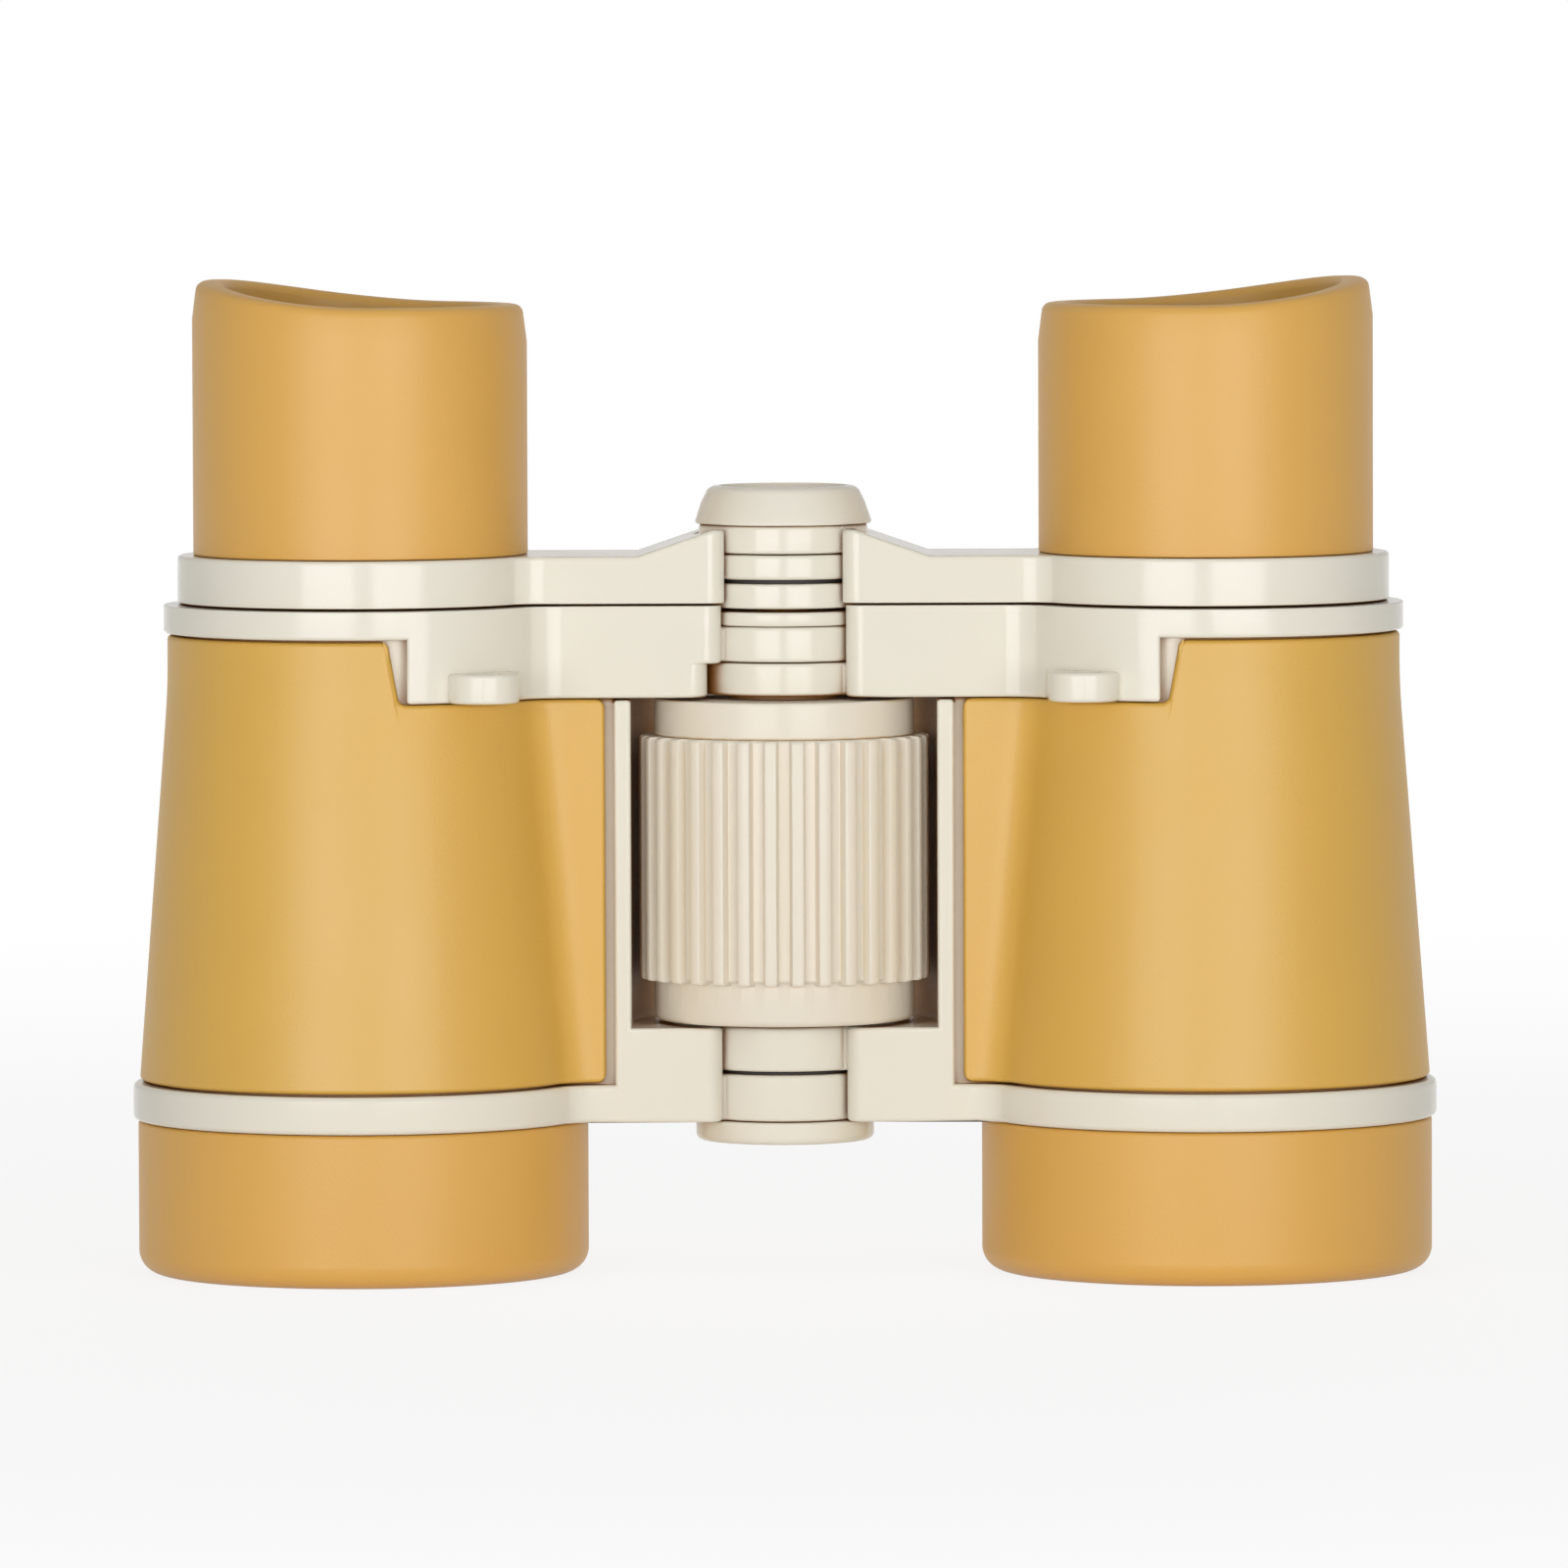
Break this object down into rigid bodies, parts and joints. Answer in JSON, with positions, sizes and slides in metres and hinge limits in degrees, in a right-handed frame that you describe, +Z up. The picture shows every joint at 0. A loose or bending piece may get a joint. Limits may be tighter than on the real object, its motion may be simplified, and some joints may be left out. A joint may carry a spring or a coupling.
{
  "type": "toy binoculars",
  "caption": "Children's folding binoculars with rubber armour, rubber eyecups and a centre focus wheel that lifts both eyepieces.",
  "frame": {"origin": "middle of the bounding box at the height of the feet; the hinge axis passes through it", "axes": "+Z up along the barrels towards the eyes, +X across both barrels, +Y away from the pictured side"},
  "size_m": [0.1112, 0.0392, 0.0846],
  "materials": {
    "cream_plastic": "glossy moulded plastic",
    "wheel_plastic": "satin moulded plastic",
    "armour_rubber": "matte, very fine grain",
    "cup_rubber": "matte, very fine grain",
    "lens_plastic": "clear polished plastic",
    "black_plastic": "matte black",
    "steel": "plated"
  },
  "bodies": {
    "left_barrel": {"left_barrel_body": "cream_plastic", "left_armour": "armour_rubber", "left_objective_cup": "cup_rubber", "left_objective_lens": "lens_plastic", "left_objective_retainer": "black_plastic", "left_top_cover": "cream_plastic", "left_cover_screws": "steel", "upper_hinge_bush": "cream_plastic", "lower_hinge_pin": "steel", "hinge_washer": "black_plastic", "bottom_cap": "cream_plastic"},
    "right_barrel": {"right_barrel_body": "cream_plastic", "right_armour": "armour_rubber", "right_objective_cup": "cup_rubber", "right_objective_lens": "lens_plastic", "right_objective_retainer": "black_plastic", "right_top_cover": "cream_plastic", "right_cover_screws": "steel"},
    "wheel": {"focus_wheel": "wheel_plastic", "wheel_grip": "wheel_plastic", "focus_nut": "black_plastic"},
    "left_eyepiece": {"left_eyepiece_arm": "cream_plastic", "left_eyepiece_tube": "black_plastic", "left_eyepiece_lens": "lens_plastic", "left_eyepiece_retainer": "black_plastic", "left_eyecup": "cup_rubber", "focus_screw": "cream_plastic", "bridge_washer": "black_plastic", "top_cap": "cream_plastic", "top_cap_screw": "steel"},
    "right_eyepiece": {"right_eyepiece_arm": "cream_plastic", "right_eyepiece_tube": "black_plastic", "right_eyepiece_lens": "lens_plastic", "right_eyepiece_retainer": "black_plastic", "right_eyecup": "cup_rubber"}
  },
  "joints": [
    {"name": "barrel_fold", "type": "hinge", "parent": "left_barrel", "child": "right_barrel", "pos_m": [0, 0, 0.03], "axis": [0, 0, -1], "range_deg": [0, 65]},
    {"name": "focus_turn", "type": "hinge", "parent": "left_barrel", "child": "wheel", "pos_m": [0, 0, 0.035], "axis": [0, 0, 1], "range_deg": [0, 360]},
    {"name": "left_focus", "type": "slide", "parent": "left_barrel", "child": "left_eyepiece", "axis": [0, 0, 1], "range_m": [0, 0.004]},
    {"name": "right_focus", "type": "slide", "parent": "right_barrel", "child": "right_eyepiece", "axis": [0, 0, 1], "range_m": [0, 0.004]}
  ],
  "couplings": [
    {"joint": "left_focus", "follows": "focus_turn", "m_per_rad": 0.0006366},
    {"joint": "right_focus", "follows": "focus_turn", "m_per_rad": 0.0006366}
  ]
}
